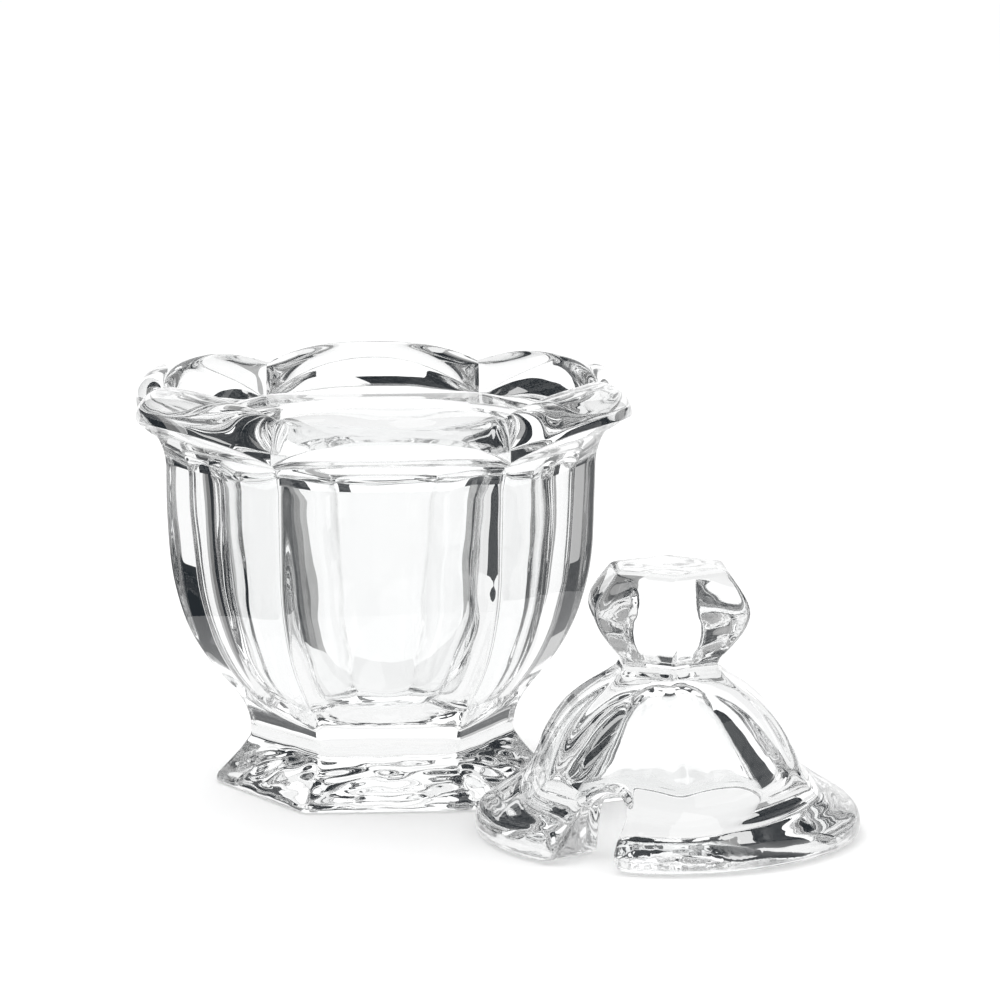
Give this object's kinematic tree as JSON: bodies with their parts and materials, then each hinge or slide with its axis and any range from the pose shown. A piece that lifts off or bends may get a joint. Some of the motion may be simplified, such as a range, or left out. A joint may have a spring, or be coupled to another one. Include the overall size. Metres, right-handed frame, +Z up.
{
  "type": "covered dappen dish",
  "caption": "Heavy clear glass pot with flat panels, a scalloped rim and a spread foot, and a domed lid with a faceted knob and a notch in its brim.",
  "frame": {"origin": "centre of the pot's foot, on the table", "axes": "+Z up; -Y out of the pot's front panel, +X to that panel's right; the lid stands on the table towards +X and -Y"},
  "size_m": [0.1359, 0.1318, 0.081],
  "materials": {
    "pot_glass": "fire-polished clear crystal",
    "lid_glass": "fire-polished clear crystal"
  },
  "bodies": {
    "pot": {"pot": "pot_glass"},
    "lid": {"lid": "lid_glass"}
  },
  "joints": [
    {"name": "lid_lift", "type": "slide", "parent": "pot", "child": "lid", "axis": [0.3796, -0.3254, 0.866], "range_m": [0, 0.12]}
  ]
}
